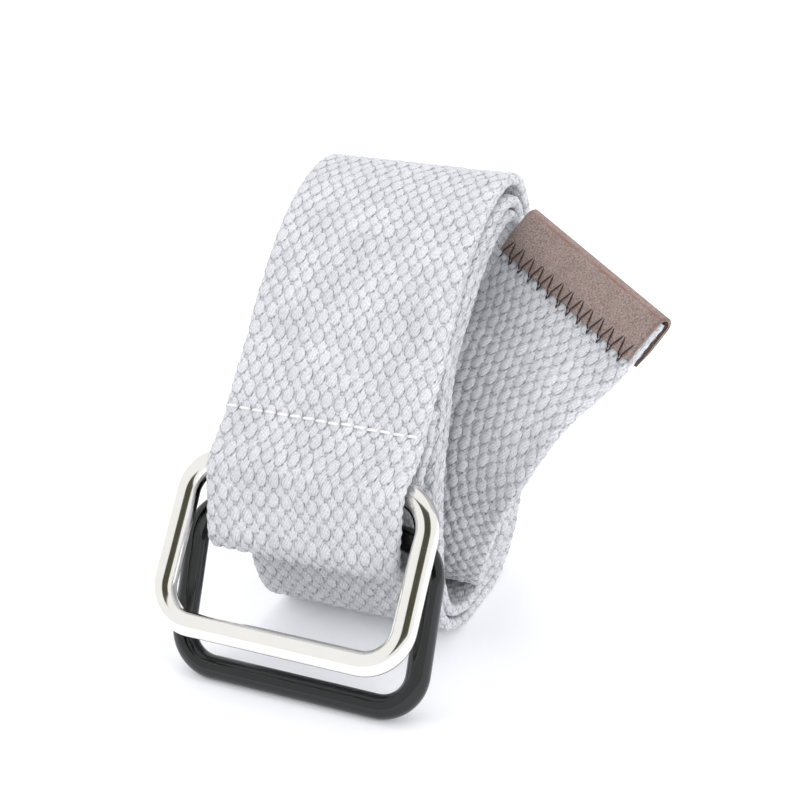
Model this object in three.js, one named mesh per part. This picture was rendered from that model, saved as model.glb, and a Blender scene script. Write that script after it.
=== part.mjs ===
// Double ring belt: a webbing strap whose folded end holds two wire rings, wound into a loose standing
// roll, with its free tail led out to the side and finished with a leather tip.
// Millimetres, +Z up, X across the strap to the right, Y to the back, floor at Z = 0.
import * as THREE from "three";

// Strap
const strapWidth = 38;
const strapThickness = 2.4;
const strapEdgeChamfer = 0.5;
const plyGap = 0.3;

// Rings
const ringWire = 4.4;
const ringBarSpacing = 29.8;
const ringCornerInside = 4.7;
const ringSideRoom = 1.8;
const ringClearance = 0.3;
const silverRingSlide = -0.2;
const blackRingSlide = 0.5;
const blackRingLean = 22;
const silverRingLean = 35.5;

// Sleeve that holds the rings' bars, narrowed by their corners where it folds
const foldWidth = 37.2;
const sleeveLean = 1.5;
const sleeveShift = -1.4;
const barDistance = 8.6;
const seamRise = 13.6;
const seamSetBack = 4.4;
const foldedPlyEnd = 1;
const foldSlack = 2.4;
const foldSlackAim = -125;
const squareRise = 9;

// Roll
const rollSetBack = 1.8;
const rollDepth = 57.2;
const rollHeight = 86;
const rollTurns = 2.619;
const rollFlatDepth = 0.35;
const frontSway = -0.8;
const frontSwaySections = 16;
const cornerSlack = 1.6;
const cornerSlackCentre = 0.225;
const cornerSlackSpread = 0.1;
const rollSectionsPerTurn = 56;

// Tail and leather tip
const tailLength = 95;
const tailSections = 26;
const leatherThickness = 1;
const leatherLength = 9.9;
const leatherFoldRoom = 1.4;
const leatherGap = 0.3;
const leatherOverhang = 0.3;

// Outside of the roll from the seam over the top, down the back and along the floor,
// as shares of the roll's depth and height
const rollOutline = [
  { depth: 0.14, height: 0.72 },
  { depth: 0.255, height: 0.81 },
  { depth: 0.415, height: 0.908 },
  { depth: 0.585, height: 0.974 },
  { depth: 0.745, height: 1.0 },
  { depth: 0.865, height: 0.98 },
  { depth: 0.945, height: 0.907 },
  { depth: 0.985, height: 0.79 },
  { depth: 1.0, height: 0.605 },
  { depth: 1.0, height: 0.407 },
  { depth: 0.972, height: 0.22 },
  { depth: 0.885, height: 0.093 },
  { depth: 0.73, height: 0.018 },
  { depth: 0.545, height: 0.0 },
  { depth: 0.35, height: 0.008 },
  { depth: 0.178, height: 0.062 },
  { depth: 0.072, height: 0.18 },
  { depth: 0.042, height: 0.325 },
  { depth: 0.041, height: 0.465 },
  { depth: 0.086, height: 0.6 },
];

// Tail from the bottom of the roll to its tip, in degrees: climb from the way to the back,
// turn to the right in the strap's own face, and roll of its right edge to the front
const tailCourse = [
  { along: 0, climb: 180, turn: 0, roll: 0 },
  { along: 0.13, climb: 153.6, turn: 11.9, roll: -0.1 },
  { along: 0.26, climb: 120.2, turn: 18, roll: -2.8 },
  { along: 0.4, climb: 88.5, turn: 19.1, roll: -3.4 },
  { along: 0.56, climb: 64.1, turn: 33.5, roll: 4 },
  { along: 0.74, climb: 54.3, turn: 36.8, roll: 20.2 },
  { along: 0.87, climb: 63.9, turn: 30.6, roll: 21.6 },
  { along: 1, climb: 63.9, turn: 30.6, roll: 21.6 },
];

const acrossStrap = new THREE.Vector3(1, 0, 0);
const radians = THREE.MathUtils.degToRad;
const layerPitch = strapThickness + plyGap;
const sidePoint = (y, z) => new THREE.Vector3(0, y, z);
// A direction in the side view, in degrees from the way to the back
const sideDirection = (degrees) => sidePoint(Math.cos(radians(degrees)), Math.sin(radians(degrees)));
// The side of a travelling strap that faces out of the roll
const outwardOf = (travel, across = acrossStrap) => across.clone().cross(travel).normalize();

// Ring outline, by its wire's centre
const ringHalfWidth = strapWidth / 2 + ringSideRoom + ringWire / 2;
const ringCorner = ringCornerInside + ringWire / 2;
const barHalfStraight = ringHalfWidth - ringCorner;

// How far the ring's bent corner reaches from its bar's axis inside the folded strap's width
const furthestSlide = Math.max(Math.abs(silverRingSlide), Math.abs(blackRingSlide));
const cornerBite = Math.max(0, foldWidth / 2 - strapEdgeChamfer - barHalfStraight + furthestSlide);
const cornerReach = ringCorner - Math.sqrt(ringCornerInside ** 2 - Math.min(cornerBite, ringCornerInside) ** 2);
const barSeat = Math.max(ringWire / 2, cornerReach) + ringClearance;
const barToPly = barSeat + strapThickness / 2;

// The two bars, seen from the side: the black ring stands on the floor, the silver bar lies above its bar
const blackBar = sidePoint(0, ringWire / 2 + ringBarSpacing * Math.cos(radians(blackRingLean)));
const sleeveUp = sideDirection(90 - sleeveLean);
const silverBar = blackBar.clone().addScaledVector(sleeveUp, barDistance);

// Closed outside curve of the roll
const outlineCurve = new THREE.CatmullRomCurve3(
  rollOutline.map(({ depth, height }) => sidePoint(rollSetBack + depth * rollDepth, height * rollHeight)),
  true,
);

// Middle of the strap after a number of turns, before the roll is set on the floor;
// the inner turns stand off the outermost one at the corner at the top of the back
function rollMiddle(turns) {
  const around = turns % 1;
  const outward = outwardOf(outlineCurve.getTangentAt(around));
  const offCentre = Math.min(1, Math.abs(around - cornerSlackCentre) / cornerSlackSpread);
  const slack = turns < 1 ? 0 : cornerSlack * Math.cos((offCentre * Math.PI) / 2) ** 2;
  const inset = strapThickness / 2 + layerPitch * turns + slack;
  return outlineCurve.getPointAt(around).addScaledVector(outward, -inset);
}

// The rolled run: every layer is flattened at the bottom, where the roll rests on the floor
function rollRun() {
  const count = Math.round(rollTurns * rollSectionsPerTurn);
  const turnsAt = (i) => (i / count) * rollTurns;
  const middles = Array.from({ length: count + 1 }, (_, i) => rollMiddle(turnsAt(i)));
  const lowest = Math.min(...middles.map((point) => point.z));
  middles.forEach((point, i) => {
    const restHeight = strapThickness / 2 + layerPitch * Math.floor(turnsAt(i));
    point.z = Math.max(point.z - lowest + strapThickness / 2 - rollFlatDepth, restHeight);
  });
  return middles;
}

// The folded ply, the fold that hangs round the black bar and the front ply up to the start of the roll
function sleeveRun(rollStart) {
  const seamFront = sidePoint(silverBar.y + seamSetBack, silverBar.z + seamRise);
  const beyond = rollStart.clone().sub(seamFront).normalize();
  const seamBack = seamFront.clone().addScaledVector(outwardOf(beyond), -layerPitch);
  const points = [seamBack.clone().addScaledVector(beyond, foldedPlyEnd), seamBack];
  const round = (bar, degrees) => bar.clone().addScaledVector(sideDirection(degrees), barToPly);
  const hang = (degrees) => foldSlack * Math.max(0, Math.cos(radians(degrees - foldSlackAim)));
  const fold = (degrees) => round(blackBar, degrees).addScaledVector(sideDirection(foldSlackAim), hang(degrees));
  const back = -sleeveLean;
  points.push(round(silverBar, back + 6));
  for (let swing = 0; swing >= -180; swing -= 18) points.push(fold(back + swing));
  for (const swing of [-186, -200, -213]) points.push(round(silverBar, back + swing));
  points.push(seamFront);
  return points;
}

// The tail, worked out step by step from its course
const tailAngles = new THREE.CubicInterpolant(
  tailCourse.map((row) => row.along),
  tailCourse.flatMap((row) => [radians(row.climb), radians(row.turn), radians(row.roll)]),
  3,
  new Float64Array(3),
);
function tailFrame(along) {
  const [climb, turn, roll] = tailAngles.evaluate(along);
  const ahead = sidePoint(Math.cos(climb), Math.sin(climb));
  const outward = outwardOf(ahead);
  const travel = ahead.clone().multiplyScalar(Math.cos(turn)).addScaledVector(acrossStrap, Math.sin(turn));
  const level = acrossStrap.clone().multiplyScalar(Math.cos(turn)).addScaledVector(ahead, -Math.sin(turn));
  const across = level.multiplyScalar(Math.cos(roll)).addScaledVector(outward, Math.sin(roll));
  return { travel, across };
}
function tailRun(start) {
  const step = 1 / tailSections;
  const end = (tailLength - leatherThickness - leatherFoldRoom) / tailLength;
  const run = [];
  const middle = start.clone();
  for (let i = 1; i <= tailSections; i += 1) {
    middle.addScaledVector(tailFrame((i - 0.5) * step).travel, step * tailLength);
    run.push({ middle: middle.clone(), ...tailFrame(i * step) });
  }
  const last = run.at(-1);
  last.middle.addScaledVector(last.travel, (end - 1) * tailLength);
  return run;
}

// A strap-shaped solid through sections, each with its middle, its travel and its way across
function strapSolid(sections) {
  const face = strapThickness / 2;
  const edge = face - strapEdgeChamfer;
  const outline = [
    { side: -1, inset: 0, out: -edge },
    { side: -1, inset: strapEdgeChamfer, out: -face },
    { side: 1, inset: strapEdgeChamfer, out: -face },
    { side: 1, inset: 0, out: -edge },
    { side: 1, inset: 0, out: edge },
    { side: 1, inset: strapEdgeChamfer, out: face },
    { side: -1, inset: strapEdgeChamfer, out: face },
    { side: -1, inset: 0, out: edge },
  ];
  const size = outline.length;
  const positions = sections.flatMap(({ middle, travel, across, width = strapWidth }) => {
    const outward = outwardOf(travel, across);
    return outline.flatMap(({ side, inset, out }) =>
      middle
        .clone()
        .addScaledVector(across, side * (width / 2 - inset))
        .addScaledVector(outward, out)
        .toArray(),
    );
  });
  const faces = [];
  for (let row = 0; row + 1 < sections.length; row += 1) {
    for (let i = 0; i < size; i += 1) {
      const a = row * size + i;
      const b = row * size + ((i + 1) % size);
      faces.push(a, a + size, b, b, a + size, b + size);
    }
  }
  const lastRow = (sections.length - 1) * size;
  for (let i = 1; i + 1 < size; i += 1) {
    faces.push(0, i, i + 1);
    faces.push(lastRow, lastRow + i + 1, lastRow + i);
  }
  const solid = new THREE.BufferGeometry();
  solid.setAttribute("position", new THREE.Float32BufferAttribute(positions, 3));
  solid.setIndex(faces);
  solid.computeVertexNormals();
  return solid;
}

// Travel at each point of a run in the side view, from its neighbours
function sectionsAlong(points) {
  return points.map((middle, i) => {
    const before = points[Math.max(0, i - 1)];
    const after = points[Math.min(points.length - 1, i + 1)];
    const travel = sidePoint(after.y - before.y, after.z - before.z).normalize();
    return { middle, travel, across: acrossStrap };
  });
}

// The sleeve is narrowed round the black bar and stands a little to the left up to above the silver bar
function sleeveSections(points) {
  return sectionsAlong(points).map(({ middle, ...ways }) => {
    const shift = sleeveShift * (1 - THREE.MathUtils.smoothstep(middle.z, silverBar.z, silverBar.z + squareRise));
    const widening = THREE.MathUtils.smoothstep(middle.z, blackBar.z, silverBar.z + squareRise);
    const shifted = new THREE.Vector3(shift, middle.y, middle.z);
    return { middle: shifted, ...ways, width: THREE.MathUtils.lerp(foldWidth, strapWidth, widening) };
  });
}

// The outer turn's front stands a little to the left between the seam and the top
function swayed(sections) {
  return sections.map((section, i) => {
    const sway = i < frontSwaySections ? frontSway * Math.sin((Math.PI * i) / frontSwaySections) : 0;
    return { ...section, middle: section.middle.clone().addScaledVector(acrossStrap, sway) };
  });
}

// Sleeve, roll and tail in one length of webbing
const roll = rollRun();
const sleeveKeys = sleeveRun(roll[0]);
const sleeveCurve = new THREE.CatmullRomCurve3([...sleeveKeys, roll[0], roll[1]], false, "centripetal");
const sleevePoints = sleeveCurve.getPoints((sleeveKeys.length + 1) * 2).slice(0, -2);
const tail = tailRun(roll.at(-1));
const sleeveEnd = sleevePoints.length - 1;
const wound = [...sleevePoints.slice(0, sleeveEnd), ...roll, tail[0].middle];
const sleeve = sleeveSections(wound.slice(0, sleeveEnd + 1)).slice(0, sleeveEnd);
const rolled = swayed(sectionsAlong(wound.slice(sleeveEnd - 1)).slice(1, -1));
const strapGeometry = strapSolid([...sleeve, ...rolled, ...tail]);

// A ring of round wire in its own plane, its upper bar on the X axis and its legs hanging along -Z
function ringGeometry() {
  const wireSides = 14;
  const straightLeg = ringBarSpacing - 2 * ringCorner;
  const path = new THREE.CurvePath();
  const corner = (x, z, startDegrees) => {
    const centre = new THREE.Vector3(x, 0, z);
    const at = (degrees) =>
      new THREE.Vector3(Math.cos(radians(degrees)), 0, Math.sin(radians(degrees)))
        .multiplyScalar(ringCorner)
        .add(centre);
    return Array.from({ length: 9 }, (_, i) => at(startDegrees - (i * 90) / 8));
  };
  const low = -ringCorner - straightLeg;
  const centreLine = [
    ...corner(barHalfStraight, -ringCorner, 90),
    ...corner(barHalfStraight, low, 0),
    ...corner(-barHalfStraight, low, -90),
    ...corner(-barHalfStraight, -ringCorner, -180),
  ];
  const positions = [];
  const count = centreLine.length;
  centreLine.forEach((point, i) => {
    const before = centreLine[(i + count - 1) % count];
    const after = centreLine[(i + 1) % count];
    const arriving = point.clone().sub(before).normalize();
    const leaving = after.clone().sub(point).normalize();
    const travel = arriving.clone().add(leaving).normalize();
    const outward = new THREE.Vector3(0, 1, 0).cross(travel).normalize();
    const stretch = 1 / Math.max(travel.dot(leaving), 0.5);
    for (let side = 0; side < wireSides; side += 1) {
      const turn = (side / wireSides) * 2 * Math.PI;
      const offset = outward.clone().multiplyScalar(Math.cos(turn) * stretch);
      offset.y = Math.sin(turn);
      positions.push(...point.clone().addScaledVector(offset, ringWire / 2).toArray());
    }
  });
  const faces = [];
  for (let i = 0; i < count; i += 1) {
    for (let side = 0; side < wireSides; side += 1) {
      const a = i * wireSides + side;
      const b = i * wireSides + ((side + 1) % wireSides);
      const c = ((i + 1) % count) * wireSides + side;
      const d = ((i + 1) % count) * wireSides + ((side + 1) % wireSides);
      faces.push(a, b, c, b, d, c);
    }
  }
  const solid = new THREE.BufferGeometry();
  solid.setAttribute("position", new THREE.Float32BufferAttribute(positions, 3));
  solid.setIndex(faces);
  solid.computeVertexNormals();
  return solid;
}

// Leather folded over the strap's end, drawn in the side view of the tail: x along it, y out of its face
function leatherGeometry() {
  const inside = strapThickness / 2 + leatherGap;
  const outside = inside + leatherThickness;
  const flapStart = -leatherLength;
  const shape = new THREE.Shape();
  shape.moveTo(flapStart, -outside);
  shape.lineTo(-outside, -outside);
  shape.absarc(-outside, 0, outside, -Math.PI / 2, Math.PI / 2);
  shape.lineTo(flapStart, outside);
  shape.lineTo(flapStart, inside);
  shape.lineTo(-outside, inside);
  shape.absarc(-outside, 0, inside, Math.PI / 2, -Math.PI / 2, true);
  shape.lineTo(flapStart, -inside);
  shape.closePath();
  const depth = strapWidth + 2 * leatherOverhang;
  const geometry = new THREE.ExtrudeGeometry(shape, { depth, bevelEnabled: false, curveSegments: 8 });
  geometry.translate(0, 0, -depth / 2);
  return geometry;
}

function piece(name, geometry, color, roughness, metalness) {
  const mesh = new THREE.Mesh(geometry, new THREE.MeshStandardMaterial({ color, roughness, metalness }));
  mesh.name = name;
  return mesh;
}

const strap = piece("strap", strapGeometry, 0xd6d7de, 0.95, 0);

const silverRing = piece("silver_ring", ringGeometry(), 0xd9d4c6, 0.12, 1);
silverRing.position.set(sleeveShift + silverRingSlide, silverBar.y, silverBar.z);
silverRing.rotation.x = -radians(silverRingLean);

const blackRing = piece("black_ring", ringGeometry(), 0x111214, 0.15, 0.2);
blackRing.position.set(sleeveShift + blackRingSlide, blackBar.y, blackBar.z);
blackRing.rotation.x = -radians(blackRingLean);

const tip = piece("leather_tip", leatherGeometry(), 0x947f77, 0.6, 0);
const tailEnd = tail.at(-1);
const tipOut = outwardOf(tailEnd.travel, tailEnd.across);
const tipBasis = new THREE.Matrix4().makeBasis(tailEnd.travel, tipOut, tailEnd.across);
tip.quaternion.setFromRotationMatrix(tipBasis);
tip.position.copy(tailEnd.middle).addScaledVector(tailEnd.travel, leatherThickness + leatherFoldRoom);

const belt = new THREE.Group();
belt.add(strap, silverRing, blackRing, tip);

// The origin is under the middle of the whole belt, on the floor
const bounds = new THREE.Box3().setFromObject(belt, true);
const centre = bounds.getCenter(new THREE.Vector3());
belt.position.set(-centre.x, -centre.y, 0);

export default belt;
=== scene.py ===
import math

import bmesh
import bpy
import numpy as np
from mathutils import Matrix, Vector


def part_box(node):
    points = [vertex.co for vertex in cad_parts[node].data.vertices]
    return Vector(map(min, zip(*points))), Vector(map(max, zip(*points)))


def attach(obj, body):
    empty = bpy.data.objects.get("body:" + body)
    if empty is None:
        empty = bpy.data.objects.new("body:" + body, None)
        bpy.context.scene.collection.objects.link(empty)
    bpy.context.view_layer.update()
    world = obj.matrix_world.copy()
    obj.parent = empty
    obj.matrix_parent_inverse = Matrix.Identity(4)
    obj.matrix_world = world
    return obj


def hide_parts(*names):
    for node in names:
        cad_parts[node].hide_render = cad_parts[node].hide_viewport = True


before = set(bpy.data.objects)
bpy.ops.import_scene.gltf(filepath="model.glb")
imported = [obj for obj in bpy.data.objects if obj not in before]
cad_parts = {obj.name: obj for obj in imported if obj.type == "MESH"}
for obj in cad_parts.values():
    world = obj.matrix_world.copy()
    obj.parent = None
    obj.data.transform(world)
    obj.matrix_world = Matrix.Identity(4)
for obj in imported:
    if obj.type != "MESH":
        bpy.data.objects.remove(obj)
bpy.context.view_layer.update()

MM = 0.001
rng = np.random.default_rng(7)

# Sizes of the part, in millimetres, as in its source
STRAP_WIDTH = 38.0
STRAP_THICKNESS = 2.4
PLY_GAP = 0.3
WIRE = 4.4
BAR_SPACING = 29.8
CORNER_INSIDE = 4.7
SIDE_ROOM = 1.8
CLEARANCE = 0.3
SILVER_SLIDE = -0.2
BLACK_SLIDE = 0.5
EDGE_CHAMFER = 0.5
BLACK_LEAN = 22.0
SILVER_LEAN = 35.5
FOLD_WIDTH = 37.2
SLEEVE_LEAN = 1.5
SLEEVE_SHIFT = -1.4
BAR_DISTANCE = 8.6
SEAM_RISE = 13.6
SEAM_SET_BACK = 4.4
FOLDED_PLY_END = 1.0
FOLD_SLACK = 2.4
FOLD_SLACK_AIM = -125.0
SQUARE_RISE = 9.0
ROLL_SET_BACK = 1.8
ROLL_DEPTH = 57.2
ROLL_HEIGHT = 86.0
ROLL_TURNS = 2.619
ROLL_FLAT = 0.35
FRONT_SWAY = -0.8
FRONT_SWAY_TURNS = 16 / 56
CORNER_SLACK = 1.6
CORNER_SLACK_CENTRE = 0.225
CORNER_SLACK_SPREAD = 0.1
TAIL_LENGTH = 95.0
LEATHER_THICKNESS = 1.0
LEATHER_LENGTH = 9.9
LEATHER_FOLD_ROOM = 1.4
PITCH = STRAP_THICKNESS + PLY_GAP

ROLL_OUTLINE = [
    (0.14, 0.72),
    (0.255, 0.81),
    (0.415, 0.908),
    (0.585, 0.974),
    (0.745, 1.0),
    (0.865, 0.98),
    (0.945, 0.907),
    (0.985, 0.79),
    (1.0, 0.605),
    (1.0, 0.407),
    (0.972, 0.22),
    (0.885, 0.093),
    (0.73, 0.018),
    (0.545, 0.0),
    (0.35, 0.008),
    (0.178, 0.062),
    (0.072, 0.18),
    (0.042, 0.325),
    (0.041, 0.465),
    (0.086, 0.6),
]
# along, climb, turn, roll
TAIL_COURSE = [
    (0, 180, 0, 0),
    (0.13, 153.6, 11.9, -0.1),
    (0.26, 120.2, 18, -2.8),
    (0.4, 88.5, 19.1, -3.4),
    (0.56, 64.1, 33.5, 4),
    (0.74, 54.3, 36.8, 20.2),
    (0.87, 63.9, 30.6, 21.6),
    (1, 63.9, 30.6, 21.6),
]


# Route of the strap


def catmull(points, closed, per=40):
    """Centripetal Catmull-Rom curve through points, as a dense polyline."""
    pts = [np.asarray(p, float) for p in points]
    n = len(pts)
    out = []
    for i in range(n if closed else n - 1):
        if closed:
            p = [pts[(i - 1) % n], pts[i], pts[(i + 1) % n], pts[(i + 2) % n]]
        else:
            first = pts[i - 1] if i > 0 else 2 * pts[0] - pts[1]
            last = pts[i + 2] if i + 2 < n else 2 * pts[n - 1] - pts[n - 2]
            p = [first, pts[i], pts[i + 1], last]
        d = [max(np.linalg.norm(p[k + 1] - p[k]) ** 0.5, 1e-4) for k in range(3)]
        t1 = (p[1] - p[0]) / d[0] - (p[2] - p[0]) / (d[0] + d[1]) + (p[2] - p[1]) / d[1]
        t2 = (p[2] - p[1]) / d[1] - (p[3] - p[1]) / (d[1] + d[2]) + (p[3] - p[2]) / d[2]
        t1, t2 = t1 * d[1], t2 * d[1]
        for k in range(per):
            t = k / per
            a = 2 * t**3 - 3 * t**2 + 1
            b = t**3 - 2 * t**2 + t
            c = -2 * t**3 + 3 * t**2
            e = t**3 - t**2
            out.append(a * p[1] + b * t1 + c * p[2] + e * t2)
    out.append(pts[0] if closed else pts[-1])
    return np.array(out)


def arc(poly):
    """Distance along a polyline at each of its points."""
    steps = np.linalg.norm(np.diff(poly, axis=0), axis=1)
    return np.concatenate([[0.0], np.cumsum(steps)])


def resample(poly, at):
    """Points of a polyline at given distances along it."""
    s = arc(poly)
    return np.stack([np.interp(at, s, poly[:, k]) for k in range(poly.shape[1])], axis=1)


def side_direction(degrees):
    a = math.radians(degrees)
    return np.array([math.cos(a), math.sin(a)])


ring_half = STRAP_WIDTH / 2 + SIDE_ROOM + WIRE / 2
ring_corner = CORNER_INSIDE + WIRE / 2
bar_half = ring_half - ring_corner
furthest_slide = max(abs(SILVER_SLIDE), abs(BLACK_SLIDE))
bite = max(0.0, FOLD_WIDTH / 2 - EDGE_CHAMFER - bar_half + furthest_slide)
corner_reach = ring_corner - math.sqrt(CORNER_INSIDE**2 - min(bite, CORNER_INSIDE) ** 2)
bar_to_ply = max(WIRE / 2, corner_reach) + CLEARANCE + STRAP_THICKNESS / 2

black_bar = np.array([0.0, WIRE / 2 + BAR_SPACING * math.cos(math.radians(BLACK_LEAN))])
silver_bar = black_bar + BAR_DISTANCE * side_direction(90 - SLEEVE_LEAN)

outline = catmull([(ROLL_SET_BACK + d * ROLL_DEPTH, h * ROLL_HEIGHT) for d, h in ROLL_OUTLINE], True)
outline_length = arc(outline)[-1]


def roll_run(count=1500):
    turns = np.linspace(0, ROLL_TURNS, count)
    around = turns % 1
    points = resample(outline, around * outline_length)
    ahead = resample(outline, ((around + 0.002) % 1) * outline_length)
    behind = resample(outline, ((around - 0.002) % 1) * outline_length)
    travel = ahead - behind
    travel /= np.linalg.norm(travel, axis=1)[:, None]
    outward = np.stack([-travel[:, 1], travel[:, 0]], axis=1)
    off = np.minimum(1, np.abs(around - CORNER_SLACK_CENTRE) / CORNER_SLACK_SPREAD)
    slack = np.where(turns < 1, 0, CORNER_SLACK * np.cos(off * math.pi / 2) ** 2)
    inset = STRAP_THICKNESS / 2 + PITCH * turns + slack
    middles = points - outward * inset[:, None]
    lowest = middles[:, 1].min()
    rest = STRAP_THICKNESS / 2 + PITCH * np.floor(turns)
    middles[:, 1] = np.maximum(middles[:, 1] - lowest + STRAP_THICKNESS / 2 - ROLL_FLAT, rest)
    return middles


def sleeve_keys(roll_start):
    seam_front = silver_bar + np.array([SEAM_SET_BACK, SEAM_RISE])
    beyond = roll_start - seam_front
    beyond /= np.linalg.norm(beyond)
    inward = -np.array([-beyond[1], beyond[0]])
    seam_back = seam_front + inward * PITCH
    keys = [seam_back + beyond * FOLDED_PLY_END, seam_back]
    back = -SLEEVE_LEAN
    keys.append(silver_bar + bar_to_ply * side_direction(back + 6))
    for k in range(11):
        degrees = back - 18 * k
        hang = FOLD_SLACK * max(0.0, math.cos(math.radians(degrees - FOLD_SLACK_AIM)))
        round_bar = black_bar + bar_to_ply * side_direction(degrees)
        keys.append(round_bar + hang * side_direction(FOLD_SLACK_AIM))
    for swing in (-186, -200, -213):
        keys.append(silver_bar + bar_to_ply * side_direction(back + swing))
    keys.append(seam_front)
    return keys


def cubic_table(knots, rows, at):
    """The same smooth interpolation between table rows as the part's source uses."""
    rows = np.asarray(rows, float)
    out = []
    for t in at:
        i1 = min(max(int(np.searchsorted(knots, t, side="right")), 1), len(knots) - 1)
        i0 = i1 - 1
        t0, t1 = knots[i0], knots[i1]
        before, tp = (rows[i0 - 1], knots[i0 - 1]) if i0 > 0 else (rows[i1], 2 * t0 - t1)
        after, tn = (rows[i1 + 1], knots[i1 + 1]) if i1 + 1 < len(knots) else (rows[i0], 2 * t1 - t0)
        half = (t1 - t0) / 2
        wp, wn = half / (t0 - tp), half / (tn - t1)
        p = (t - t0) / (t1 - t0)
        sp = -wp * p**3 + 2 * wp * p**2 - wp * p
        s0 = (1 + wp) * p**3 + (-1.5 - 2 * wp) * p**2 + (-0.5 + wp) * p + 1
        s1 = (-1 - wn) * p**3 + (1.5 + wn) * p**2 + 0.5 * p
        sn = wn * p**3 - wn * p**2
        out.append(sp * before + s0 * rows[i0] + s1 * rows[i1] + sn * after)
    return np.array(out)


def tail_frames(at):
    knots = np.array([row[0] for row in TAIL_COURSE])
    angles = np.radians(cubic_table(knots, [row[1:] for row in TAIL_COURSE], at))
    climb, turn, roll = angles.T
    zero = np.zeros_like(climb)
    ahead = np.stack([zero, np.cos(climb), np.sin(climb)], axis=1)
    outward = np.stack([zero, -np.sin(climb), np.cos(climb)], axis=1)
    x = np.array([1.0, 0.0, 0.0])
    travel = np.cos(turn)[:, None] * ahead + np.sin(turn)[:, None] * x
    level = np.cos(turn)[:, None] * x - np.sin(turn)[:, None] * ahead
    across = np.cos(roll)[:, None] * level + np.sin(roll)[:, None] * outward
    return travel, across


roll = roll_run()
keys = sleeve_keys(roll[0])
sleeve = catmull(keys + [roll[0], roll[1]], False)[: -41]
seam_index = (len(keys) - 1) * 40
side_path = np.concatenate([sleeve[:-1], roll])
side_s = arc(side_path)
seam_s = side_s[seam_index]
roll_start_s = side_s[len(sleeve) - 1]

steps = 400
travel_mid, _ = tail_frames((np.arange(steps) + 0.5) / steps)
tail_travel, tail_across = tail_frames(np.arange(steps + 1) / steps)
tail_start = np.array([0.0, roll[-1][0], roll[-1][1]])
tail_steps = np.cumsum(travel_mid * TAIL_LENGTH / steps, axis=0)
tail_points = tail_start + np.concatenate([[np.zeros(3)], tail_steps])

# One table for the whole strap: distance, middle, travel, across, width
count_side = len(side_path)
side_middle = np.stack([np.zeros(count_side), side_path[:, 0], side_path[:, 1]], axis=1)


def smoothstep(v, lo, hi):
    t = np.clip((v - lo) / (hi - lo), 0, 1)
    return t * t * (3 - 2 * t)


in_sleeve = np.arange(count_side) < len(sleeve) - 1
z_side = side_path[:, 1]
turns_side = (np.arange(count_side) - (len(sleeve) - 1)) / (len(roll) - 1) * ROLL_TURNS
sway_part = np.clip(turns_side / FRONT_SWAY_TURNS, 0, 1)
square_top = silver_bar[1] + SQUARE_RISE
side_middle[:, 0] = np.where(
    in_sleeve,
    SLEEVE_SHIFT * (1 - smoothstep(z_side, silver_bar[1], square_top)),
    FRONT_SWAY * np.sin(math.pi * sway_part),
)
widening = smoothstep(z_side, black_bar[1], square_top)
side_width = np.where(in_sleeve, FOLD_WIDTH + (STRAP_WIDTH - FOLD_WIDTH) * widening, STRAP_WIDTH)

# Leave out the tail's part inside the leather fold
tail_keep = int(steps * (1 - (LEATHER_THICKNESS + LEATHER_FOLD_ROOM) / TAIL_LENGTH))
route_middle = np.concatenate([side_middle, tail_points[1 : tail_keep + 1]])
route_width = np.concatenate([side_width, np.full(tail_keep, STRAP_WIDTH)])
side_flat = np.column_stack([side_path, np.zeros(count_side)])
route_s = arc(np.concatenate([side_flat, tail_points[1 : tail_keep + 1][:, [1, 2, 0]]]))
side_tangent = np.gradient(side_path, side_s, axis=0)
kernel = np.ones(9) / 9
for k in range(2):
    padded_tangent = np.pad(side_tangent[:, k], 4, mode="edge")
    side_tangent[:, k] = np.convolve(padded_tangent, kernel, mode="valid")
side_tangent /= np.linalg.norm(side_tangent, axis=1)[:, None]
side_travel = np.stack([np.zeros(count_side), side_tangent[:, 0], side_tangent[:, 1]], axis=1)
route_travel = np.concatenate([side_travel, tail_travel[1 : tail_keep + 1]])
side_across = np.tile([1.0, 0.0, 0.0], (count_side, 1))
route_across = np.concatenate([side_across, tail_across[1 : tail_keep + 1]])
tail_s = route_s[count_side - 1]
strap_end_s = route_s[-1]
# A little more strap, straight on, fills the leather fold
INTO_FOLD = 0.95
route_middle = np.concatenate([route_middle, route_middle[-1:] + route_travel[-1] * INTO_FOLD])
route_travel = np.concatenate([route_travel, route_travel[-1:]])
route_across = np.concatenate([route_across, route_across[-1:]])
route_width = np.append(route_width, route_width[-1])
route_s = np.append(route_s, strap_end_s + INTO_FOLD)

# The part's origin is under the middle of its box: shift from the route's own place
shift = np.array([0.0, 0.0, 0.0])
raw_black_left = SLEEVE_SHIFT + BLACK_SLIDE - ring_half - WIRE / 2
shift[0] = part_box("black_ring")[0].x / MM - raw_black_left
shift[1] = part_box("silver_ring")[0].y / MM - (
    silver_bar[0] - BAR_SPACING * math.sin(math.radians(SILVER_LEAN)) - WIRE / 2
)
route_middle = route_middle + shift


def route_at(s):
    """Middle, travel, across, outward and width of the strap at distances s."""
    def at(table):
        return np.stack([np.interp(s, route_s, table[:, k]) for k in range(3)], axis=1)

    middle, travel, across = at(route_middle), at(route_travel), at(route_across)
    travel /= np.linalg.norm(travel, axis=1)[:, None]
    across -= travel * (across * travel).sum(1)[:, None]
    across /= np.linalg.norm(across, axis=1)[:, None]
    outward = np.cross(across, travel)
    return middle, travel, across, outward, np.interp(s, route_s, route_width)


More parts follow.
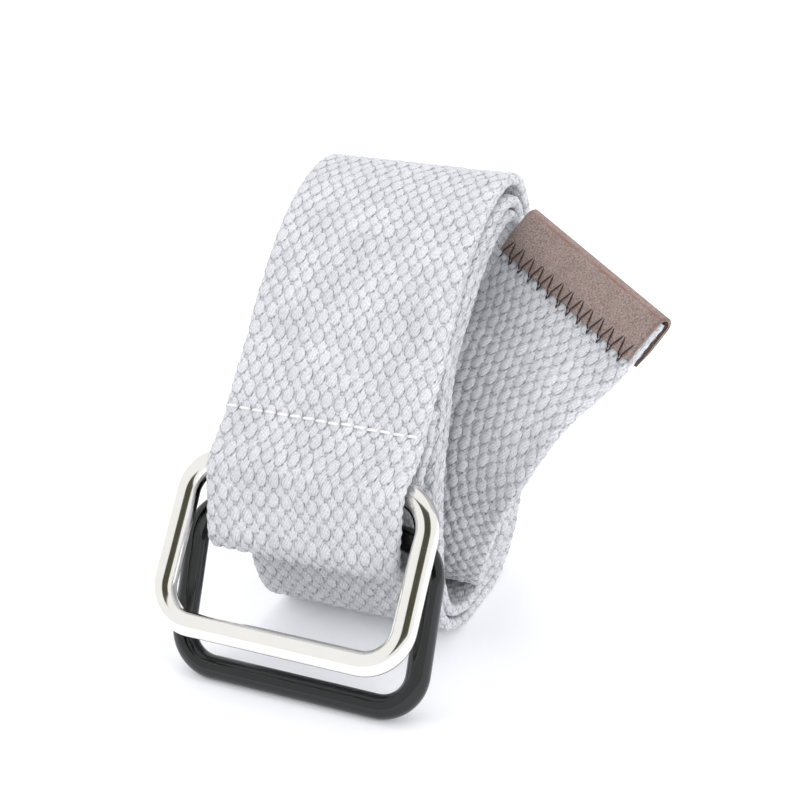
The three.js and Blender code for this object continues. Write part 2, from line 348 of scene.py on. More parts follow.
# Weave of the webbing: large floats on a lattice, smaller and lower ones between them.
# The lattice is regular in the strap's own map, which is bent a little so that no row is quite straight.
COLUMN = 2.5
REPEAT = 3.72
BIG_FLOAT = (1.0, 1.46, 1.0)
SMALL_FLOAT = (0.9, 1.3, 0.72)
FLOAT_POWER = 2.6
FLOAT_HEIGHT = 0.44
BASE = 0.84


def weave_map(x, s):
    """The strap's map in lattice cells, from millimetres across and along."""
    bend_x = 0.10 * np.sin(s * 0.31 + 0.5 * np.sin(x * 0.4)) + 0.06 * np.sin(s * 0.83 + x * 0.53 + 1.0)
    bend_s = 0.15 * np.sin(x * 0.37 + 0.8 * np.sin(s * 0.09)) + 0.10 * np.sin(x * 0.91 - s * 0.43 + 2.0)
    return (x + bend_x) / COLUMN, (s + bend_s) / REPEAT


def hashed(i, j, salt):
    """A steady pseudo-random number from 0 to 1 for each lattice cell."""
    v = np.sin(i * 127.1 + j * 311.7 + salt * 74.7) * 43758.5453
    return v - np.floor(v)


def one_float(u, v, offset, form, salt):
    """Height share of one family of oval floats."""
    half_x, half_s, height = form
    i, j = np.round(u - offset), np.round(v - offset)
    dx, ds = (u - offset - i) * COLUMN, (v - offset - j) * REPEAT
    r = np.abs(dx / half_x) ** FLOAT_POWER + np.abs(ds / half_s) ** FLOAT_POWER
    return height * (0.86 + 0.24 * hashed(i, j, salt)) * np.sqrt(np.maximum(0, 1 - r))


def weave(u, v):
    """Height share of the woven face over its base."""
    return np.maximum(one_float(u, v, 0.0, BIG_FLOAT, 1), one_float(u, v, 0.5, SMALL_FLOAT, 2))


def grid_mesh(name, rows_xyz, uv, caps=(False, False)):
    """A mesh from a grid of points: rows along the strap, columns round its closed section."""
    rows, cols, _ = rows_xyz.shape
    verts = (rows_xyz.reshape(-1, 3) * MM).astype(np.float32)
    first = np.arange(rows - 1)[:, None] * cols
    a = first + np.arange(cols)[None, :]
    b = first + ((np.arange(cols) + 1) % cols)[None, :]
    quads = np.stack([a, b, b + cols, a + cols], axis=-1).reshape(-1, 4)
    mesh = bpy.data.meshes.new(name)
    faces = quads.tolist()
    if caps[0]:
        faces.append(list(range(cols)))
    if caps[1]:
        faces.append(list(range((rows - 1) * cols, rows * cols))[::-1])
    mesh.from_pydata(verts.tolist(), [], faces)
    layer = mesh.uv_layers.new(name="UVMap")
    loops = np.zeros(len(mesh.loops), np.int32)
    mesh.loops.foreach_get("vertex_index", loops)
    layer.data.foreach_set("uv", uv.reshape(-1, 2)[loops].astype(np.float32).ravel())
    mesh.polygons.foreach_set("use_smooth", [True] * len(mesh.polygons))
    mesh.validate()
    obj = bpy.data.objects.new(name, mesh)
    bpy.context.scene.collection.objects.link(obj)
    return obj


def section(face_points, back_points, edge_points=7):
    """Places round the strap's section: share across (-1 to 1), which side, and edge angle."""
    entries = []
    for k in range(face_points):
        entries.append(("face", -1 + 2 * k / (face_points - 1)))
    for k in range(1, edge_points + 1):
        entries.append(("right", k / (edge_points + 1)))
    for k in range(back_points):
        entries.append(("back", 1 - 2 * k / (back_points - 1)))
    for k in range(1, edge_points + 1):
        entries.append(("left", k / (edge_points + 1)))
    return entries


EDGE = 0.8
SEAM_DENT = 0.28
SEAM_DENT_REACH = 0.8
EDGE_RISE = 0.2
EDGE_MAP_WIDTH = 2.4
# The stitch row lies a little nearer the fold than the place where the plies meet
STITCH_BELOW = 4.75
stitch_s = seam_s - STITCH_BELOW


def strap_piece(name, s0, s1, step, face_points, back_points, material, relief_back=1.0):
    """One length of webbing with its woven relief and knobbly edges."""
    n = int(round((s1 - s0) / step)) + 1
    s = np.linspace(s0, s1, n)
    middle, travel, across, outward, width = route_at(s)
    entries = section(face_points, back_points)
    pts = np.zeros((n, len(entries), 3))
    uv = np.zeros((n, len(entries), 2))
    for c, (side, value) in enumerate(entries):
        flat_half = width / 2 - EDGE
        if side in ("face", "back"):
            x = value * flat_half
            rel = 1.0 if side == "face" else relief_back
            cell_u, cell_v = weave_map(x if side == "face" else x + COLUMN / 2, s)
            h = BASE + FLOAT_HEIGHT * (rel * weave(cell_u, cell_v) + (1 - rel) * 0.5)
            if side == "face":
                h = h - SEAM_DENT * np.exp(-(((s - stitch_s) / SEAM_DENT_REACH) ** 2))
            h = h * (1 if side == "face" else -1)
        else:
            sign = 1 if side == "right" else -1
            angle = math.pi * value
            knob = 0.10 * np.cos(2 * math.pi * s / (REPEAT / 2))
            knob = knob + 0.06 * np.sin(2 * math.pi * s / 5.3 + sign)
            reach = EDGE + knob
            up = math.cos(angle) if side == "right" else -math.cos(angle)
            h = up * (BASE + EDGE_RISE)
            x = sign * (flat_half + reach * math.sin(angle))
            round_edge = value if side == "right" else 1 - value
            cell_u, cell_v = weave_map(sign * (flat_half + EDGE_MAP_WIDTH * round_edge), s)
        x_here = np.broadcast_to(x, (n,))[:, None]
        h_here = np.broadcast_to(h, (n,))[:, None]
        pts[:, c] = middle + across * x_here + outward * h_here
        uv[:, c, 0] = cell_u
        uv[:, c, 1] = cell_v
    obj = grid_mesh(name, pts, uv, (True, True))
    obj.data.materials.append(material)
    return obj


# Materials


def new_material(name):
    mat = bpy.data.materials.new(name)
    mat.use_nodes = True
    nodes, links = mat.node_tree.nodes, mat.node_tree.links
    return mat, nodes, links, nodes["Principled BSDF"]


def object_noise(nodes, links, scale, detail):
    """Even noise through the piece, in its own coordinates."""
    where = nodes.new("ShaderNodeTexCoord")
    noise = nodes.new("ShaderNodeTexNoise")
    noise.inputs["Scale"].default_value = scale
    noise.inputs["Detail"].default_value = detail
    links.new(where.outputs["Object"], noise.inputs["Vector"])
    return noise.outputs["Fac"]


def two_tints(nodes, links, value, low, high, between=(0.0, 1.0)):
    """A colour between two, by a value."""
    tint = nodes.new("ShaderNodeValToRGB")
    for element, position, color in zip(tint.color_ramp.elements, between, (low, high)):
        element.position = position
        element.color = (*color, 1)
    links.new(value, tint.inputs["Fac"])
    return tint.outputs["Color"]


def set_roughness(nodes, links, shader, value, low, high):
    rough = nodes.new("ShaderNodeMapRange")
    rough.inputs["To Min"].default_value = low
    rough.inputs["To Max"].default_value = high
    links.new(value, rough.inputs["Value"])
    links.new(rough.outputs["Result"], shader.inputs["Roughness"])


def set_bump(nodes, links, shader, height, strength, distance):
    bump = nodes.new("ShaderNodeBump")
    bump.inputs["Strength"].default_value = strength
    bump.inputs["Distance"].default_value = distance
    links.new(height, bump.inputs["Height"])
    links.new(bump.outputs["Normal"], shader.inputs["Normal"])


class Graph:
    """Short ways to write down a material's sums."""

    def __init__(self, nodes, links):
        self.nodes, self.links = nodes, links

    def put(self, socket, value):
        if isinstance(value, (int, float)):
            socket.default_value = value
        else:
            self.links.new(value, socket)

    def math(self, operation, a, b=0.0, c=0.0):
        node = self.nodes.new("ShaderNodeMath")
        node.operation = operation
        for socket, value in zip(node.inputs, (a, b, c)):
            self.put(socket, value)
        return node.outputs[0]

    def ramp(self, value, low, high, to_low=0.0, to_high=1.0):
        node = self.nodes.new("ShaderNodeMapRange")
        node.interpolation_type = "SMOOTHSTEP"
        names = ("From Min", "From Max", "To Min", "To Max")
        for name, number in zip(names, (low, high, to_low, to_high)):
            node.inputs[name].default_value = number
        self.put(node.inputs["Value"], value)
        return node.outputs["Result"]

    def noise(self, vector, scale, detail=2.0):
        node = self.nodes.new("ShaderNodeTexNoise")
        node.inputs["Scale"].default_value = scale
        node.inputs["Detail"].default_value = detail
        self.links.new(vector, node.inputs["Vector"])
        return node.outputs["Fac"]

    def cell_number(self, u, v, salt):
        """A random number for each lattice cell."""
        join = self.nodes.new("ShaderNodeCombineXYZ")
        self.put(join.inputs["X"], u)
        self.put(join.inputs["Y"], v)
        join.inputs["Z"].default_value = salt
        node = self.nodes.new("ShaderNodeTexWhiteNoise")
        node.noise_dimensions = "3D"
        self.links.new(join.outputs[0], node.inputs["Vector"])
        return node.outputs["Value"]


STRAND_PITCH = 0.52
# OUTLINE: width, in millimetres, of the painted shade round each float's edge
OUTLINE = 0.2
TICK_PITCH = 0.52
STRAND_LEAN = math.radians(22)


def float_sums(g, u, v, offset, form, salt):
    """Height share, strand wave, dark end, number, way past the edge, painted-shade outline and ticks of
    one family.
    """
    half_x, half_s, height = form
    i = g.math("ROUND", g.math("SUBTRACT", u, offset))
    j = g.math("ROUND", g.math("SUBTRACT", v, offset))
    dx = g.math("MULTIPLY", g.math("SUBTRACT", g.math("SUBTRACT", u, offset), i), COLUMN)
    ds = g.math("MULTIPLY", g.math("SUBTRACT", g.math("SUBTRACT", v, offset), j), REPEAT)
    rx = g.math("POWER", g.math("ABSOLUTE", g.math("DIVIDE", dx, half_x)), FLOAT_POWER)
    rs = g.math("POWER", g.math("ABSOLUTE", g.math("DIVIDE", ds, half_s)), FLOAT_POWER)
    r = g.math("ADD", rx, rs)
    dome = g.math("SQRT", g.math("MAXIMUM", g.math("SUBTRACT", 1.0, r), 0.0))
    number = g.cell_number(i, j, salt)
    # Millimetres past the float's edge, less than nothing inside it
    reach = g.math("POWER", r, 1 / FLOAT_POWER)
    past = g.math("MULTIPLY", g.math("SUBTRACT", reach, 1.0), (half_x + half_s) / 2)
    lean_x = g.math("MULTIPLY", dx, math.cos(STRAND_LEAN))
    side = g.math("SUBTRACT", lean_x, g.math("MULTIPLY", ds, math.sin(STRAND_LEAN)))
    phase = g.math("MULTIPLY", number, 2 * math.pi)
    turns = g.math("MULTIPLY_ADD", side, 2 * math.pi / STRAND_PITCH, phase)
    strand = g.math("COSINE", turns)
    # A short dark end at the lower right of each float
    end_x = g.math("POWER", g.math("DIVIDE", g.math("SUBTRACT", dx, half_x * 0.80), 0.30), 2.0)
    end_s = g.math("POWER", g.math("DIVIDE", g.math("ADD", ds, half_s * 0.82), 0.42), 2.0)
    end = g.ramp(g.math("ADD", end_x, end_s), 0.0, 1.0, 1.0, 0.0)
    end = g.math("MULTIPLY", end, g.math("POWER", number, 0.7))
    # The painted-shade outline fades towards the float's upper and lower ends
    sides = g.ramp(g.math("DIVIDE", rx, g.math("MAXIMUM", r, 0.001)), 0.0, 0.55, 0.4, 1.0)
    line = g.math("MULTIPLY", g.ramp(g.math("ABSOLUTE", past), 0.0, OUTLINE, 1.0, 0.0), sides)
    # and is darker on the right and below, where the float turns from the light
    lower_right = g.math("SUBTRACT", g.math("DIVIDE", dx, half_x), g.math("DIVIDE", ds, half_s))
    line = g.math("MULTIPLY", line, g.ramp(lower_right, -1.4, 0.6, 0.5, 1.0))
    # Short crosswise ticks half-way to the next float of the column
    half_way = g.math("SUBTRACT", g.math("ABSOLUTE", ds), REPEAT / 2)
    wave = g.math("COSINE", g.math("MULTIPLY", half_way, 2 * math.pi / TICK_PITCH))
    wave = g.ramp(wave, -1.0, -0.3, 1.0, 0.0)
    tick = g.math("MULTIPLY", wave, g.ramp(g.math("ABSOLUTE", dx), 0.25, 0.5, 1.0, 0.0))
    tick = g.math("MULTIPLY", tick, g.ramp(g.math("ABSOLUTE", half_way), 0.4, 0.6, 1.0, 0.0))
    return g.math("MULTIPLY", dome, height), strand, end, number, past, line, tick


def webbing_material(name, color_low, color_high):
    """Cotton webbing: oval floats of slanting strands, painted shade along the outlines, in the open gaps
    and in the strand grooves, dark ends, fibres, a slow colour drift.
    """
    mat, nodes, links, shader = new_material(name)
    shader.inputs["Roughness"].default_value = 0.95
    shader.inputs["Specular IOR Level"].default_value = 0.12
    shader.inputs["Sheen Weight"].default_value = 0.2
    shader.inputs["Sheen Roughness"].default_value = 0.6
    g = Graph(nodes, links)
    uv = nodes.new("ShaderNodeUVMap")
    uv.uv_map = "UVMap"
    split = nodes.new("ShaderNodeSeparateXYZ")
    links.new(uv.outputs["UV"], split.inputs[0])
    u, v = split.outputs["X"], split.outputs["Y"]
    wobble = nodes.new("ShaderNodeTexNoise")
    wobble.inputs["Scale"].default_value = 2.3
    wobble.inputs["Detail"].default_value = 2.0
    links.new(uv.outputs["UV"], wobble.inputs["Vector"])
    wob = nodes.new("ShaderNodeSeparateColor")
    links.new(wobble.outputs["Color"], wob.inputs[0])
    u = g.math("ADD", u, g.math("MULTIPLY", g.math("SUBTRACT", wob.outputs[0], 0.5), 0.16))
    v = g.math("ADD", v, g.math("MULTIPLY", g.math("SUBTRACT", wob.outputs[1], 0.5), 0.12))
    family = float_sums(g, u, v, 0.0, BIG_FLOAT, 1.0)
    big, big_strand, big_end, big_number, big_past, big_painted_outline, tick = family
    family = float_sums(g, u, v, 0.5, SMALL_FLOAT, 2.0)
    small, small_strand, small_end, small_number, small_past, small_painted_outline, _ = family
    on_big = g.math("LESS_THAN", big_past, 0.0)
    high = g.math("MAXIMUM", big, small)
    # Thin outlines of painted shade: all round the big floats, and round the small ones where no big one
    # covers them
    small_painted_outline = g.math("MULTIPLY", small_painted_outline, g.math("SUBTRACT", 1.0, on_big))
    line = g.math("MAXIMUM", big_painted_outline, g.math("MULTIPLY", small_painted_outline, 0.9))
    # Painted shade in the open gaps where no float covers
    painted_gap_shade = g.math("MULTIPLY", g.ramp(big_past, 0.0, 0.15), g.ramp(small_past, 0.0, 0.15))

    def choose(a, b):
        off_big = g.math("SUBTRACT", 1.0, on_big)
        return g.math("ADD", g.math("MULTIPLY", on_big, a), g.math("MULTIPLY", off_big, b))

    strand = choose(big_strand, small_strand)
    end = g.math("MAXIMUM", big_end, small_end)
    number = choose(big_number, small_number)
    fibre_map = nodes.new("ShaderNodeMapping")
    fibre_map.inputs["Rotation"].default_value = (0, 0, -STRAND_LEAN)
    fibre_map.inputs["Scale"].default_value = (14.0, 8.0, 1.0)
    links.new(uv.outputs["UV"], fibre_map.inputs["Vector"])
    fibre = g.noise(fibre_map.outputs[0], 1.0, 4.0)
    drift = g.noise(uv.outputs["UV"], 0.35, 3.0)
    # Tint: the fibre first, then each float and a slow drift along the strap
    mix = g.math("MULTIPLY", number, 0.05)
    mix = g.math("MULTIPLY_ADD", fibre, 0.7, mix)
    mix = g.math("MULTIPLY_ADD", drift, 0.22, mix)
    tint = nodes.new("ShaderNodeMix")
    tint.data_type = "RGBA"
    tint.inputs["A"].default_value = (*color_low, 1)
    tint.inputs["B"].default_value = (*color_high, 1)
    links.new(g.ramp(mix, 0.3, 0.72), tint.inputs["Factor"])
    broken = g.ramp(g.noise(uv.outputs["UV"], 4.2, 1.0), 0.36, 0.6, 0.1, 1.0)
    line = g.math("MULTIPLY", line, broken)
    tick = g.math("MULTIPLY", tick, g.math("SUBTRACT", 1.0, on_big))
    # The colour is darkened by painted shade (outlines, open gaps, strand grooves), by the ticks and by the
    # dark ends
    dark = g.math("SUBTRACT", 1.0, g.math("MULTIPLY", line, 0.6))
    dark = g.math("MULTIPLY", dark, g.math("SUBTRACT", 1.0, g.math("MULTIPLY", tick, 0.26)))
    dark = g.math("MULTIPLY", dark, g.math("SUBTRACT", 1.0, g.math("MULTIPLY", painted_gap_shade, 0.14)))
    dark = g.math("MULTIPLY", dark, g.math("SUBTRACT", 1.0, g.math("MULTIPLY", end, 0.42)))
    # Painted shade in the grooves between strands
    painted_groove_shade = g.ramp(strand, -1.0, -0.2, 1.0, 0.0)
    dark = g.math("MULTIPLY", dark, g.math("SUBTRACT", 1.0, g.math("MULTIPLY", painted_groove_shade, 0.15)))
    shade = nodes.new("ShaderNodeVectorMath")
    shade.operation = "SCALE"
    links.new(tint.outputs["Result"], shade.inputs[0])
    links.new(dark, shade.inputs["Scale"])
    links.new(shade.outputs[0], shader.inputs["Base Color"])
    relief = g.math("MULTIPLY_ADD", strand, 0.10, g.math("MULTIPLY", high, 0.9))
    relief = g.math("MULTIPLY_ADD", fibre, 0.36, relief)
    relief = g.math("SUBTRACT", relief, g.math("MULTIPLY", line, 0.3))
    relief = g.math("SUBTRACT", relief, g.math("MULTIPLY", end, 0.35))
    set_bump(nodes, links, shader, relief, 0.75, 0.00026)
    return mat


def metal_material(name, color, metallic, roughness, coat, mark):
    """Polished or coated wire with slight, slow marks in its gloss."""
    mat, nodes, links, shader = new_material(name)
    shader.inputs["Metallic"].default_value = metallic
    shader.inputs["Coat Weight"].default_value = coat
    shader.inputs["Coat Roughness"].default_value = 0.04
    marks = object_noise(nodes, links, 240.0, 4.0)
    set_roughness(nodes, links, shader, marks, roughness * 0.7, roughness * 1.5)
    tint = two_tints(nodes, links, marks, [c * 0.93 for c in color], color)
    links.new(tint, shader.inputs["Base Color"])
    set_bump(nodes, links, shader, marks, mark, 0.00002)
    return mat


def leather_material(name):
    """Speckled leather with a fine grain and a worn, reddish line along the fold."""
    mat, nodes, links, shader = new_material(name)
    shader.inputs["Specular IOR Level"].default_value = 0.35
    where = nodes.new("ShaderNodeTexCoord")
    grain = nodes.new("ShaderNodeTexVoronoi")
    grain.feature = "DISTANCE_TO_EDGE"
    grain.inputs["Scale"].default_value = 1900.0
    links.new(where.outputs["Object"], grain.inputs["Vector"])
    fine = object_noise(nodes, links, 3400.0, 2.0)
    drift = object_noise(nodes, links, 300.0, 3.0)
    g = Graph(nodes, links)
    speckle = g.math("MULTIPLY_ADD", fine, 0.86, g.math("MULTIPLY", drift, 0.14))
    tint = two_tints(nodes, links, speckle, (0.150, 0.104, 0.092), (0.37, 0.292, 0.265), (0.3, 0.7))
    fold = nodes.new("ShaderNodeAttribute")
    fold.attribute_name = "fold"
    red = nodes.new("ShaderNodeMix")
    red.data_type = "RGBA"
    red.inputs["B"].default_value = (0.22, 0.10, 0.085, 1)
    links.new(fold.outputs["Fac"], red.inputs["Factor"])
    links.new(tint, red.inputs["A"])
    links.new(red.outputs["Result"], shader.inputs["Base Color"])
    set_roughness(nodes, links, shader, fine, 0.5, 0.72)
    set_bump(nodes, links, shader, grain.outputs["Distance"], 0.6, 0.00014)
    return mat


def thread_material(name, color, rough):
    mat, nodes, links, shader = new_material(name)
    shader.inputs["Roughness"].default_value = rough
    ply = object_noise(nodes, links, 3500.0, 2.0)
    tint = two_tints(nodes, links, ply, [c * 0.7 for c in color], color)
    links.new(tint, shader.inputs["Base Color"])
    set_bump(nodes, links, shader, ply, 0.6, 0.00005)
    return mat


cotton = webbing_material("webbing_cotton", (0.49, 0.495, 0.525), (0.79, 0.795, 0.82))
nickel = metal_material("polished_nickel", (0.97, 0.95, 0.90), 1.0, 0.12, 0.0, 0.02)
enamel = metal_material("black_enamel", (0.003, 0.0035, 0.004), 0.0, 0.12, 0.1, 0.03)
leather = leather_material("tip_leather")
white_thread = thread_material("white_thread", (0.9, 0.89, 0.87), 0.6)
dark_thread = thread_material("dark_thread", (0.05, 0.022, 0.016), 0.6)


# The strap in lengths: folded ply and sleeve, front and top, back and bottom, inner turns, tail
turn_length = (side_s[-1] - roll_start_s) / ROLL_TURNS
FRONT_AND_TOP = 62
OUTER_TURN_SHARE = 0.98
fine_step = 0.33
fine_face = 100
back_face = 84
top_back_s = roll_start_s + FRONT_AND_TOP
outer_end_s = roll_start_s + turn_length * OUTER_TURN_SHARE
covered_end_s = strap_end_s + INTO_FOLD
front_part = strap_piece("webbing_sleeve_and_front", 0.0, top_back_s, fine_step, fine_face, 22, cotton, 0.0)
back_part = strap_piece("webbing_back_and_floor", top_back_s, outer_end_s, 0.42, back_face, 16, cotton, 0.0)
inner_part = strap_piece("webbing_inner_turns", outer_end_s, tail_s, 0.7, 30, 44, cotton)
tail_part = strap_piece("webbing_tail", tail_s, covered_end_s, fine_step, fine_face, 70, cotton)
strap_pieces = [front_part, back_part, inner_part, tail_part]


# Rings


def ring_piece(name, bar, slide, lean, material):
    """A smooth rounded-rectangle ring of round wire, hung from its bar."""
    path = []
    for centre_x, centre_z, start in (
        (bar_half, -ring_corner, 90),
        (bar_half, -BAR_SPACING + ring_corner, 0),
        (-bar_half, -BAR_SPACING + ring_corner, -90),
        (-bar_half, -ring_corner, -180),
    ):
        for k in range(25):
            a = math.radians(start - 90 * k / 24)
            path.append((centre_x + ring_corner * math.cos(a), centre_z + ring_corner * math.sin(a)))
    path = np.array(path)
    closed = np.vstack([path, path[:1]])
    total = arc(closed)[-1]
    at = np.linspace(0, total, 261)[:-1]
    line = resample(closed, at)
    tangent = np.roll(line, -1, axis=0) - np.roll(line, 1, axis=0)
    tangent /= np.linalg.norm(tangent, axis=1)[:, None]
    normal = np.stack([-tangent[:, 1], tangent[:, 0]], axis=1)
    sides = 32
    turn = np.arange(sides) / sides * 2 * math.pi
    a = math.radians(lean)
    pts = np.zeros((len(line) + 1, sides, 3))
    uv = np.zeros((len(line) + 1, sides, 2))
    for k, angle in enumerate(turn):
        offset = normal * math.cos(angle) * WIRE / 2
        flat = line + offset
        y = math.sin(angle) * WIRE / 2
        z = flat[:, 1]
        px = SLEEVE_SHIFT + slide + flat[:, 0] + shift[0]
        py = bar[0] + y * math.cos(a) + z * math.sin(a) + shift[1]
        pz = bar[1] + z * math.cos(a) - y * math.sin(a)
        pts[:-1, k] = np.stack([px, py, pz], axis=1)
        uv[:-1, k, 0] = angle * WIRE / 2
        uv[:-1, k, 1] = at
    pts[-1] = pts[0]
    uv[-1] = uv[0]
    uv[-1, :, 1] = total
    obj = grid_mesh(name, pts, uv)
    obj.data.flip_normals()
    work = bmesh.new()
    work.from_mesh(obj.data)
    bmesh.ops.remove_doubles(work, verts=work.verts, dist=1e-7)
    work.to_mesh(obj.data)
    work.free()
    obj.data.materials.append(material)
    return obj


silver = ring_piece("silver_ring_wire", silver_bar, SILVER_SLIDE, SILVER_LEAN, nickel)
black = ring_piece("black_ring_wire", black_bar, BLACK_SLIDE, BLACK_LEAN, enamel)

# Leather tip: a strip folded over the strap's end
end_middle, end_travel, end_across, end_outward, _ = route_at(np.array([strap_end_s]))
end_middle, end_travel = end_middle[0], end_travel[0]
end_across, end_outward = end_across[0], end_outward[0]
fold_at = LEATHER_THICKNESS + LEATHER_FOLD_ROOM


LEATHER_SKIN = 0.6
LEATHER_PINCH = 0.35
FOLD_LINE_BACK = 0.95
FOLD_LINE_HALF = 0.22


def leather_piece():
    inside = STRAP_THICKNESS / 2 + 0.2
    outside = inside + LEATHER_SKIN

    def flap(t, side):
        """A place on the outer skin of one flap, from its lower edge (0) to the fold (1)."""
        along = -LEATHER_LENGTH + t * (LEATHER_LENGTH - outside)
        swell = 0.16 * math.sin(math.pi * min(1, t * 1.05)) - LEATHER_PINCH * (1 - smoothstep(t, 0.0, 0.5))
        return (along, side * (outside + float(swell)), 0.0)

    # Along the outer skin from the front flap's lower edge, round the fold, to the back flap's edge
    profile = [flap(k / 23, 1) for k in range(24)]
    for k in range(1, 17):
        a = math.pi * k / 17
        profile.append((-outside + outside * math.sin(a), outside * math.cos(a), math.sin(a)))
    profile += [flap(1 - k / 23, -1) for k in range(24)]
    outer = np.array(profile)
    # Inner skin, back along the same way
    inner = []
    for along, up, f in profile[::-1]:
        if f > 0:
            a = math.atan2(along + outside, up)
            inner.append((-outside + inside * math.sin(a), inside * math.cos(a), 0.0))
        else:
            side = 1 if up > 0 else -1
            share = (along + LEATHER_LENGTH) / LEATHER_LENGTH
            thin = LEATHER_SKIN - LEATHER_PINCH * (1 - smoothstep(share, 0.0, 0.5))
            inner.append((along, up - side * float(thin), 0.0))
    loop = np.array(list(outer) + inner)
    half = STRAP_WIDTH / 2 + 0.15
    columns = 60
    xs = np.linspace(-half, half, columns)
    wobble = np.sin(xs * 0.55 + 1.1) * 0.08 + np.sin(xs * 1.7) * 0.04
    pts = np.zeros((columns, len(loop), 3))
    uv = np.zeros((columns, len(loop), 2))
    skin = arc(loop[:, :2])
    for r, x in enumerate(xs):
        edge = min(half - abs(x), 0.35) / 0.35
        trim = 1 - 0.12 * (1 - edge) ** 2
        for c, (along, up, _) in enumerate(loop):
            end_weight = 1.0 if along < -LEATHER_LENGTH + 1.5 else 0.0
            u = up * trim
            p = end_middle + end_travel * (along + fold_at + wobble[r] * end_weight)
            pts[r, c] = p + end_across * x + end_outward * u
            uv[r, c] = (x, skin[c])
    obj = grid_mesh("leather_tip_fold", pts, uv, (True, True))
    mesh = obj.data
    attr = mesh.attributes.new("fold", "FLOAT", "POINT")
    # The reddish line lies just before the fold on the outer face
    line_at = loop[:, 0]
    on_outer = np.arange(len(loop)) < len(outer)
    mark = np.exp(-(((line_at + FOLD_LINE_BACK) / FOLD_LINE_HALF) ** 2)) * on_outer * (loop[:, 1] > 0)
    side_mark = np.zeros((columns, len(loop)))
    strength = 0.35 + 0.65 * np.clip(np.abs(np.sin(xs * 0.21 + 0.4)) + 0.25 * np.sin(xs * 2.3), 0, 1)
    side_mark[:] = strength[:, None] * mark[None, :]
    attr.data.foreach_set("value", side_mark.reshape(-1).astype(np.float32))
    mesh.materials.append(leather)
    return obj


tip = leather_piece()


def tube(name, lines, radius, material, sides=8):
    """Short threads as closed tubes, all in one mesh."""
    verts, faces = [], []
    for line in lines:
        line = np.asarray(line, float)
        tangent = np.gradient(line, axis=0)
        tangent /= np.linalg.norm(tangent, axis=1)[:, None]
        ref = np.array([0.13, 0.31, 0.94])
        first = len(verts)
        m = len(line)
        for k in range(m):
            a = np.cross(tangent[k], ref)
            a /= np.linalg.norm(a)
            b = np.cross(tangent[k], a)
            end = min(k, m - 1 - k)
            r = radius * (1.0 if end > 1 else (0.55 if end == 0 else 0.88))
            for j in range(sides):
                t = 2 * math.pi * j / sides
                verts.append((line[k] + r * (math.cos(t) * a + math.sin(t) * b)) * MM)
        for k in range(m - 1):
            for j in range(sides):
                p = first + k * sides + j
                q = first + k * sides + (j + 1) % sides
                faces.append((p, q, q + sides, p + sides))
        faces.append(tuple(first + j for j in range(sides))[::-1])
        faces.append(tuple(first + (m - 1) * sides + j for j in range(sides)))
    mesh = bpy.data.meshes.new(name)
    mesh.from_pydata([tuple(v) for v in verts], [], faces)
    mesh.polygons.foreach_set("use_smooth", [True] * len(mesh.polygons))
    mesh.validate()
    obj = bpy.data.objects.new(name, mesh)
    bpy.context.scene.collection.objects.link(obj)
    obj.data.materials.append(material)
    return obj


# Straight seam that closes the sleeve
STITCH_PITCH = 2.46
STITCH_LENGTH = 2.0
seam_lines = []
seam_mid, seam_travel, seam_across, seam_out, _ = route_at(np.array([stitch_s]))
x = -17.6
while x < 17.8:
    line = []
    jitter = rng.uniform(-0.12, 0.12)
    tilt = rng.uniform(-0.05, 0.05)
    for t in np.linspace(0, 1, 9):
        dx = (t - 0.5) * STITCH_LENGTH
        lift = 0.30 * math.sin(math.pi * t) ** 0.6
        p = seam_mid[0] + seam_across[0] * (x + dx) + seam_travel[0] * (jitter + tilt * dx)
        p = p + seam_out[0] * (BASE - 0.08 + lift)
        line.append(p)
    seam_lines.append(line)
    x += STITCH_PITCH + rng.uniform(-0.08, 0.08)
seam = tube("sleeve_seam_stitches", seam_lines, 0.28, white_thread)

# Zigzag that holds the leather tip, on its front and back
zigzag_lines = []
ZIG_PITCH = 2.95
ZIG_UP = 3.5
ZIG_DOWN = 1.3
for face in (1, -1):
    knots = []
    x = -18.3
    upper = False
    while x < 18.6:
        along = -LEATHER_LENGTH + fold_at + (ZIG_UP if upper else -ZIG_DOWN) + rng.uniform(-0.12, 0.12)
        knots.append((x + rng.uniform(-0.1, 0.1), along))
        x += ZIG_PITCH / 2
        upper = not upper
    for (x0, a0), (x1, a1) in zip(knots[:-1], knots[1:]):
        line = []
        for t in np.linspace(0, 1, 11):
            along = a0 + (a1 - a0) * t
            xx = x0 + (x1 - x0) * t
            on_leather = smoothstep(along, -LEATHER_LENGTH + fold_at - 0.5, -LEATHER_LENGTH + fold_at + 0.3)
            level = 1.30 + 0.62 * float(on_leather)
            dip = 0.16 * (1 - math.sin(math.pi * t) ** 0.4)
            p = end_middle + end_travel * along + end_across * xx + end_outward * face * (level + 0.1 - dip)
            line.append(p)
        zigzag_lines.append(line)
zigzag = tube("tip_zigzag_stitches", zigzag_lines, 0.14, dark_thread)

# What each piece stands for and moves with
for piece in strap_pieces:
    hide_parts("strap")
    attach(piece, "belt")
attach(seam, "belt")
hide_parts("leather_tip")
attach(tip, "belt")
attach(zigzag, "belt")
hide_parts("silver_ring")
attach(silver, "silver")
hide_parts("black_ring")
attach(black, "black")


# Floor, light and camera


def plane(name, size, location, rotation, material):
    mesh = bpy.data.meshes.new(name)
    h = size / 2
    mesh.from_pydata([(-h, -h, 0), (h, -h, 0), (h, h, 0), (-h, h, 0)], [], [(0, 1, 2, 3)])
    obj = bpy.data.objects.new(name, mesh)
    obj.location = location
    obj.rotation_euler = rotation
    bpy.context.scene.collection.objects.link(obj)
    obj.data.materials.append(material)
    return obj


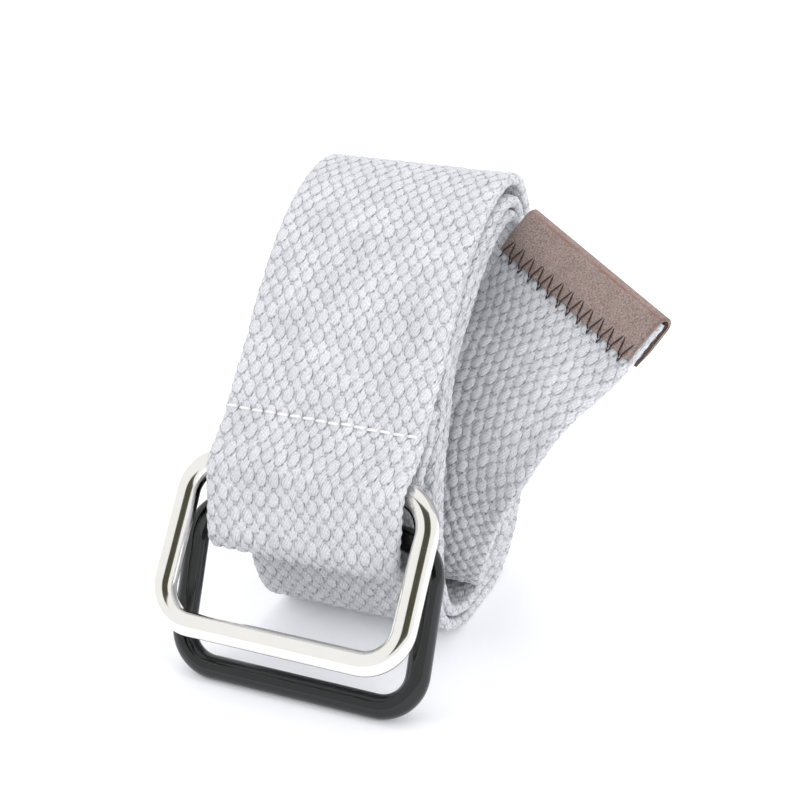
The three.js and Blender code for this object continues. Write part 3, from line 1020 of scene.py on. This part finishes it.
floor_mat, _, _, floor_shader = new_material("floor_white")
floor_shader.inputs["Base Color"].default_value = (0.93, 0.94, 0.965, 1)
floor_shader.inputs["Roughness"].default_value = 0.75
floor_shader.inputs["Specular IOR Level"].default_value = 0.2
floor_shader.inputs["Emission Color"].default_value = (0.95, 0.98, 1.0, 1)
floor_shader.inputs["Emission Strength"].default_value = 0.10
plane("floor", 6.0, (0, 0, 0), (0, 0, 0), floor_mat)

world = bpy.data.worlds.new("studio")
bpy.context.scene.world = world
world.use_nodes = True
world.node_tree.nodes["Background"].inputs["Color"].default_value = (0.985, 0.99, 1.0, 1)
world.node_tree.nodes["Background"].inputs["Strength"].default_value = 0.95


def area(name, location, target, size, power, color=(1, 1, 1)):
    data = bpy.data.lights.new(name, "AREA")
    data.shape = "RECTANGLE"
    data.size, data.size_y = size
    data.energy = power
    data.color = color
    obj = bpy.data.objects.new(name, data)
    obj.location = location
    direction = Vector(target) - Vector(location)
    obj.rotation_euler = direction.to_track_quat("-Z", "Y").to_euler()
    obj.visible_glossy = False
    bpy.context.scene.collection.objects.link(obj)
    return obj


area("key", (-0.5, -0.4, 0.6), (0, 0, 0.04), (0.7, 0.5), 1.5)
area("top", (0.0, 0.2, 0.9), (0, 0, 0.04), (0.9, 0.7), 2.0)
area("right", (0.8, -0.25, 0.35), (0, 0, 0.05), (0.5, 0.5), 2.8)

# A dark gap in the white tent, where the camera looks in, gives the wires their dark band
gap_mat, _, _, gap_shader = new_material("tent_gap")
gap_shader.inputs["Base Color"].default_value = (0.06, 0.056, 0.04, 1)
gap_shader.inputs["Roughness"].default_value = 1.0
gap_shader.inputs["Specular IOR Level"].default_value = 0.0


def card(name, azimuth, elevation, distance, width, height):
    """A dark card seen only in reflections, facing the part from a given direction."""
    a, e = math.radians(azimuth), math.radians(elevation)
    back = Vector((math.sin(a) * math.cos(e), -math.cos(a) * math.cos(e), math.sin(e)))
    mesh = bpy.data.meshes.new(name)
    w, h = width / 2, height / 2
    mesh.from_pydata([(-w, -h, 0), (w, -h, 0), (w, h, 0), (-w, h, 0)], [], [(0, 1, 2, 3)])
    obj = bpy.data.objects.new(name, mesh)
    obj.location = back * distance + Vector((0, 0, 0.02))
    obj.rotation_mode = "QUATERNION"
    obj.rotation_quaternion = back.to_track_quat("Z", "Y")
    obj.visible_camera = False
    obj.visible_diffuse = False
    obj.visible_shadow = False
    bpy.context.scene.collection.objects.link(obj)
    mesh.materials.append(gap_mat)
    return obj


card("tent_gap_card", 30, 42, 0.5, 0.5, 0.45)

camera_data = bpy.data.cameras.new("photo_camera")
camera_data.sensor_width = 36.0
camera_data.lens = 72.0
camera_data.clip_start = 0.01
camera = bpy.data.objects.new("photo_camera", camera_data)
PHOTO_EYE = np.array([111.1, -226.3, 160.0])
PHOTO_VIEW = Vector((-0.3597, 0.8473, -0.3907))
eye = PHOTO_EYE + shift
camera.location = Vector(eye * MM)
camera.rotation_mode = "QUATERNION"
camera.rotation_quaternion = PHOTO_VIEW.to_track_quat("-Z", "Y")
bpy.context.scene.collection.objects.link(camera)
bpy.context.scene.camera = camera
bpy.context.scene.view_settings.view_transform = "Standard"
